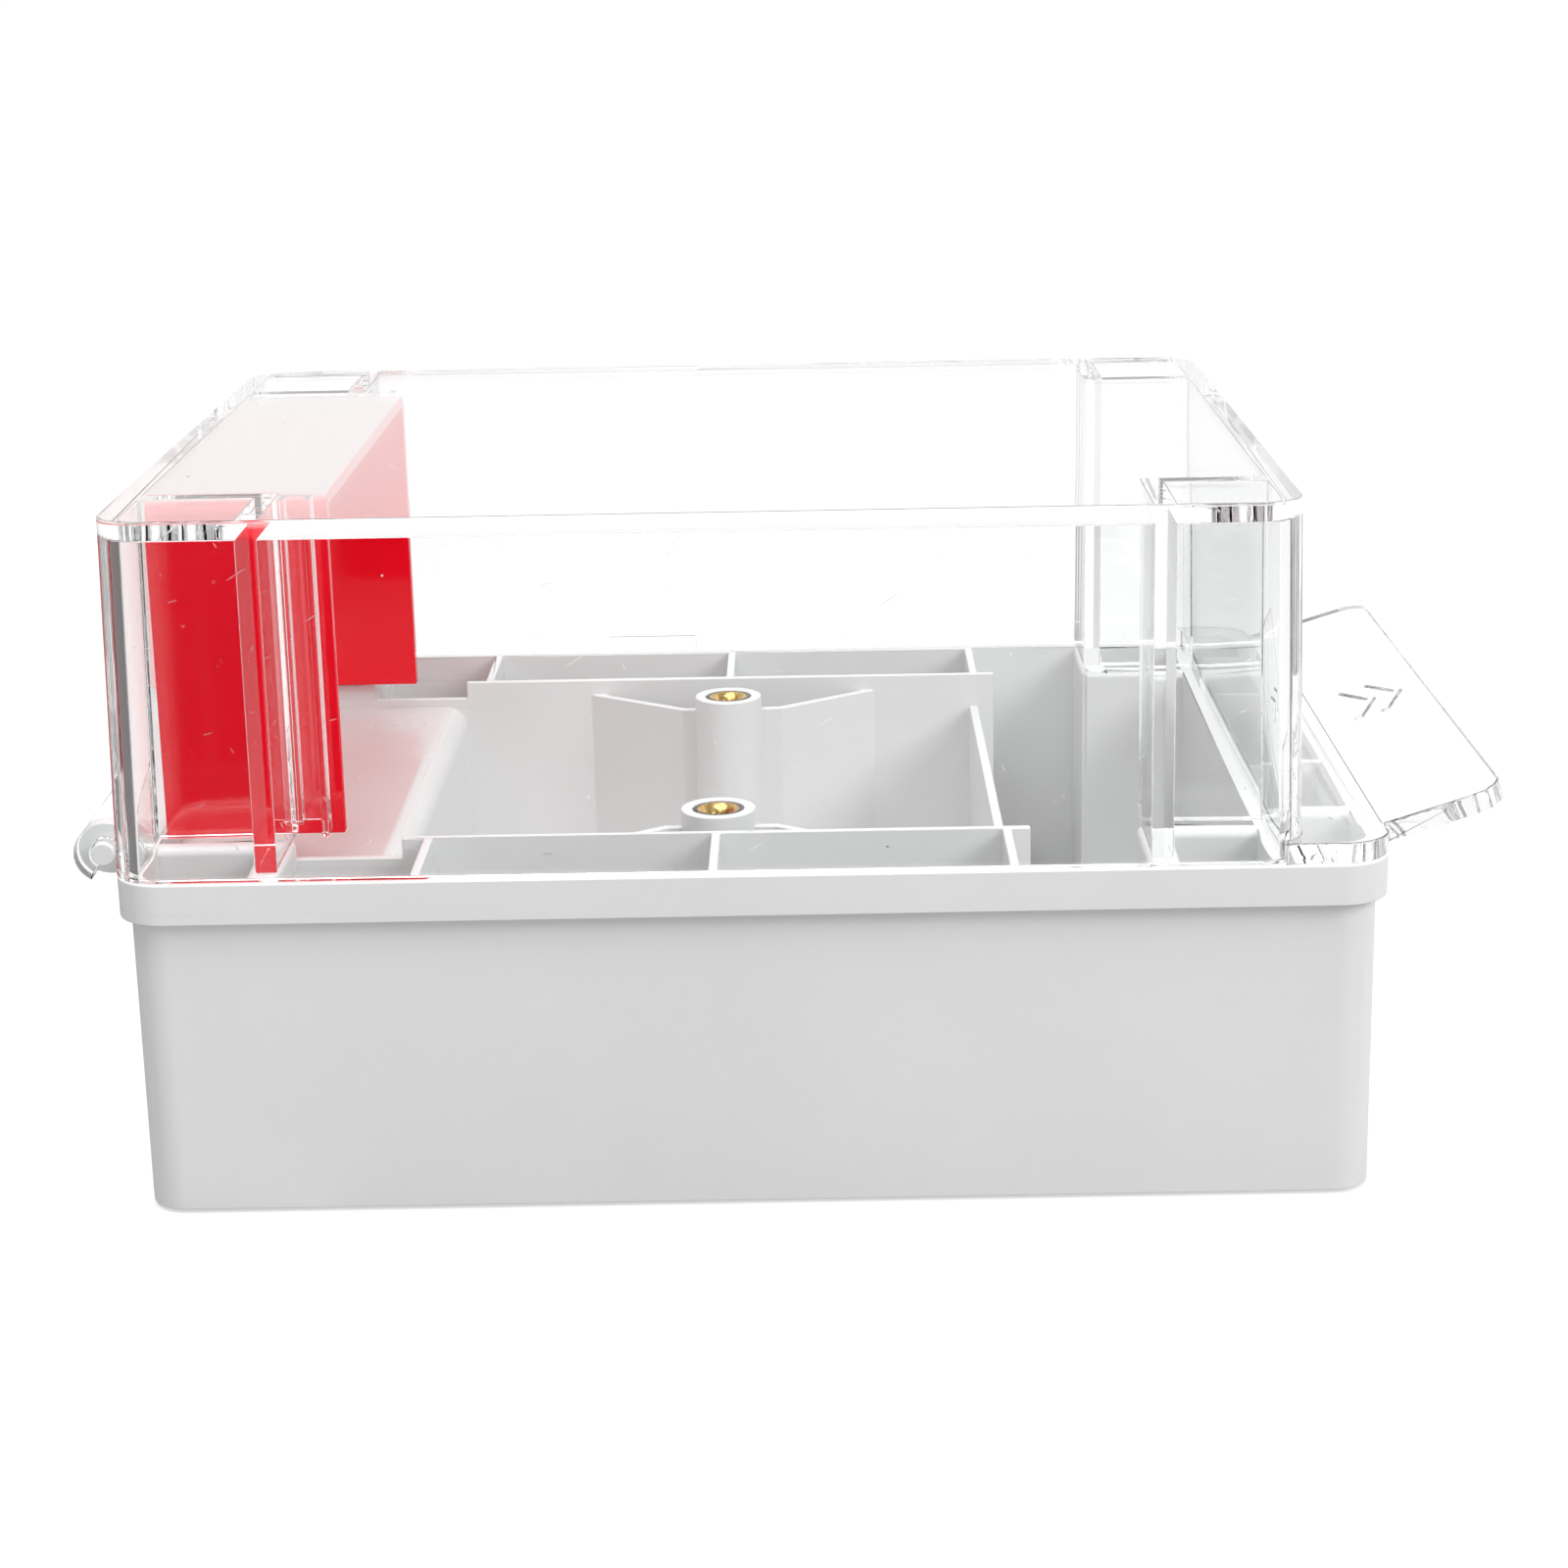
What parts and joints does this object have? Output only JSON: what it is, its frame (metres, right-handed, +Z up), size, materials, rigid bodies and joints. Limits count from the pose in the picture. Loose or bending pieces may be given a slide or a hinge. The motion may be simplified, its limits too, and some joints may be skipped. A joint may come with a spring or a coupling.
{
  "type": "gel electrophoresis tank",
  "caption": "Open moulded base with compartments and threaded bosses under a clear hinged box lid with corner columns, a lifting tab and a red shield inside.",
  "frame": {"origin": "on the table under the middle of the whole tank's plan, hinge lugs and lifting tab included", "axes": "+X from the hinge end to the lifting tab, +Y from the long side that faces the user to the other long side, +Z up"},
  "size_m": [0.2868, 0.19, 0.1415],
  "materials": {
    "white_plastic": "satin moulded",
    "clear_plastic": "clear polished",
    "red_acrylic": "polished sheet",
    "red_plastic": "satin",
    "black_plastic": "satin",
    "brass": "turned",
    "steel": "zinc plated",
    "platinum": "drawn wire",
    "foot_rubber": "matt"
  },
  "bodies": {
    "base": {"tank_base": "white_plastic", "bay_cover": "white_plastic", "brass_insert_front": "brass", "hinge_pin_front": "white_plastic", "foot_left_front": "foot_rubber", "foot_right_front": "foot_rubber", "cathode_holder_front": "white_plastic", "anode_holder_front": "white_plastic", "brass_insert_rear": "brass", "hinge_pin_rear": "white_plastic", "foot_left_rear": "foot_rubber", "foot_right_rear": "foot_rubber", "cathode_holder_rear": "white_plastic", "anode_holder_rear": "white_plastic", "cover_screw_1": "steel", "cover_screw_2": "steel", "cover_screw_3": "steel", "cover_screw_4": "steel", "socket_cathode": "black_plastic", "socket_anode": "red_plastic", "socket_nut_cathode": "steel", "socket_nut_anode": "steel", "cathode_wire": "platinum", "anode_wire": "platinum", "cathode_lead": "black_plastic", "anode_lead": "red_plastic"},
    "lid": {"lid": "clear_plastic", "red_shield": "red_acrylic", "shield_rail_front": "clear_plastic", "shield_rail_rear": "clear_plastic"}
  },
  "joints": [
    {"name": "lid_hinge", "type": "hinge", "parent": "base", "child": "lid", "pos_m": [-0.13736, 0, 0.069], "axis": [0, -1, 0], "range_deg": [0, 105]}
  ]
}
